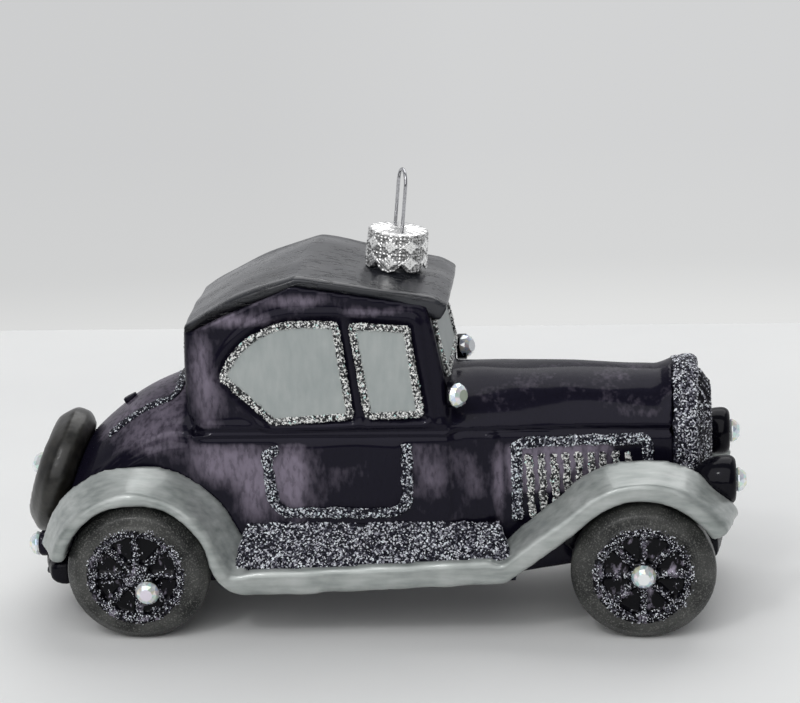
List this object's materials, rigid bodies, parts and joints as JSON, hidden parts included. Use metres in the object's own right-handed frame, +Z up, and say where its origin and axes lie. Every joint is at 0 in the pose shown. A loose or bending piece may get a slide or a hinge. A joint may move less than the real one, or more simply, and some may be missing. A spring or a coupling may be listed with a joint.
{
  "type": "glass car ornament",
  "caption": "Blown glass hanging ornament shaped as a closed vintage car with running boards, a lift-off metal cap and a wire loop.",
  "frame": {"origin": "on the ground under the middle of the car's length and width", "axes": "+X towards the radiator, +Y to the car's left, +Z up"},
  "size_m": [0.138, 0.0532, 0.085],
  "materials": {
    "purple_lacquer": "deep violet black transparent lacquer over mirrored glass, glossy, with slightly wavy reflections",
    "black_lacquer": "black gloss lacquer with fine wrinkles",
    "silver_lacquer": "pearly silver lacquer, satin, brushed on by hand",
    "tyre_grey": "matte dark grey paint with a fine sparkle",
    "window_silver": "flat silver grey paint with brush strokes",
    "dark_glitter": "gunmetal glitter glued on, sparkling",
    "silver_glitter": "bright silver glitter glued on, sparkling",
    "cut_crystal": "cut crystal with an iridescent coating, foiled flat back",
    "stamped_cap": "bright stamped metal with an embossed pattern",
    "bright_wire": "bright drawn spring wire"
  },
  "bodies": {
    "car": {"cabin": "purple_lacquer", "door_tub": "purple_lacquer", "front_bumper": "black_lacquer", "front_wheel_housing": "black_lacquer", "grille": "dark_glitter", "hood_body": "purple_lacquer", "left_board_rim": "silver_lacquer", "left_cowl_lamp": "purple_lacquer", "left_cowl_lamp_crystal": "cut_crystal", "left_door_trim": "dark_glitter", "left_front_fender": "silver_lacquer", "left_front_hub_crystal": "cut_crystal", "left_front_wheel": "tyre_grey", "left_headlamp": "purple_lacquer", "left_headlamp_crystal": "cut_crystal", "left_louvres": "silver_glitter", "left_rear_fender": "silver_lacquer", "left_rear_hub_crystal": "cut_crystal", "left_rear_wheel": "tyre_grey", "left_running_board": "dark_glitter", "left_tail_lamp_crystal": "cut_crystal", "left_windows": "window_silver", "lid_handle": "purple_lacquer", "lid_trim": "dark_glitter", "radiator_surround": "dark_glitter", "rear_bumper": "black_lacquer", "rear_wheel_housing": "black_lacquer", "rear_window": "window_silver", "right_board_rim": "silver_lacquer", "right_cowl_lamp": "purple_lacquer", "right_cowl_lamp_crystal": "cut_crystal", "right_door_trim": "dark_glitter", "right_front_fender": "silver_lacquer", "right_front_hub_crystal": "cut_crystal", "right_front_wheel": "tyre_grey", "right_headlamp": "purple_lacquer", "right_headlamp_crystal": "cut_crystal", "right_louvres": "silver_glitter", "right_rear_fender": "silver_lacquer", "right_rear_hub_crystal": "cut_crystal", "right_rear_wheel": "tyre_grey", "right_running_board": "dark_glitter", "right_tail_lamp_crystal": "cut_crystal", "right_windows": "window_silver", "roof": "black_lacquer", "spare_crystal": "cut_crystal", "spare_wheel": "tyre_grey", "tail_body": "purple_lacquer", "windscreen": "window_silver"},
    "cap": {"ornament_cap": "stamped_cap", "wire_hanger": "bright_wire"}
  },
  "joints": [
    {"name": "cap_lift", "type": "slide", "parent": "car", "child": "cap", "axis": [0.1045, 0, 0.9945], "range_m": [0, 0.024]}
  ]
}
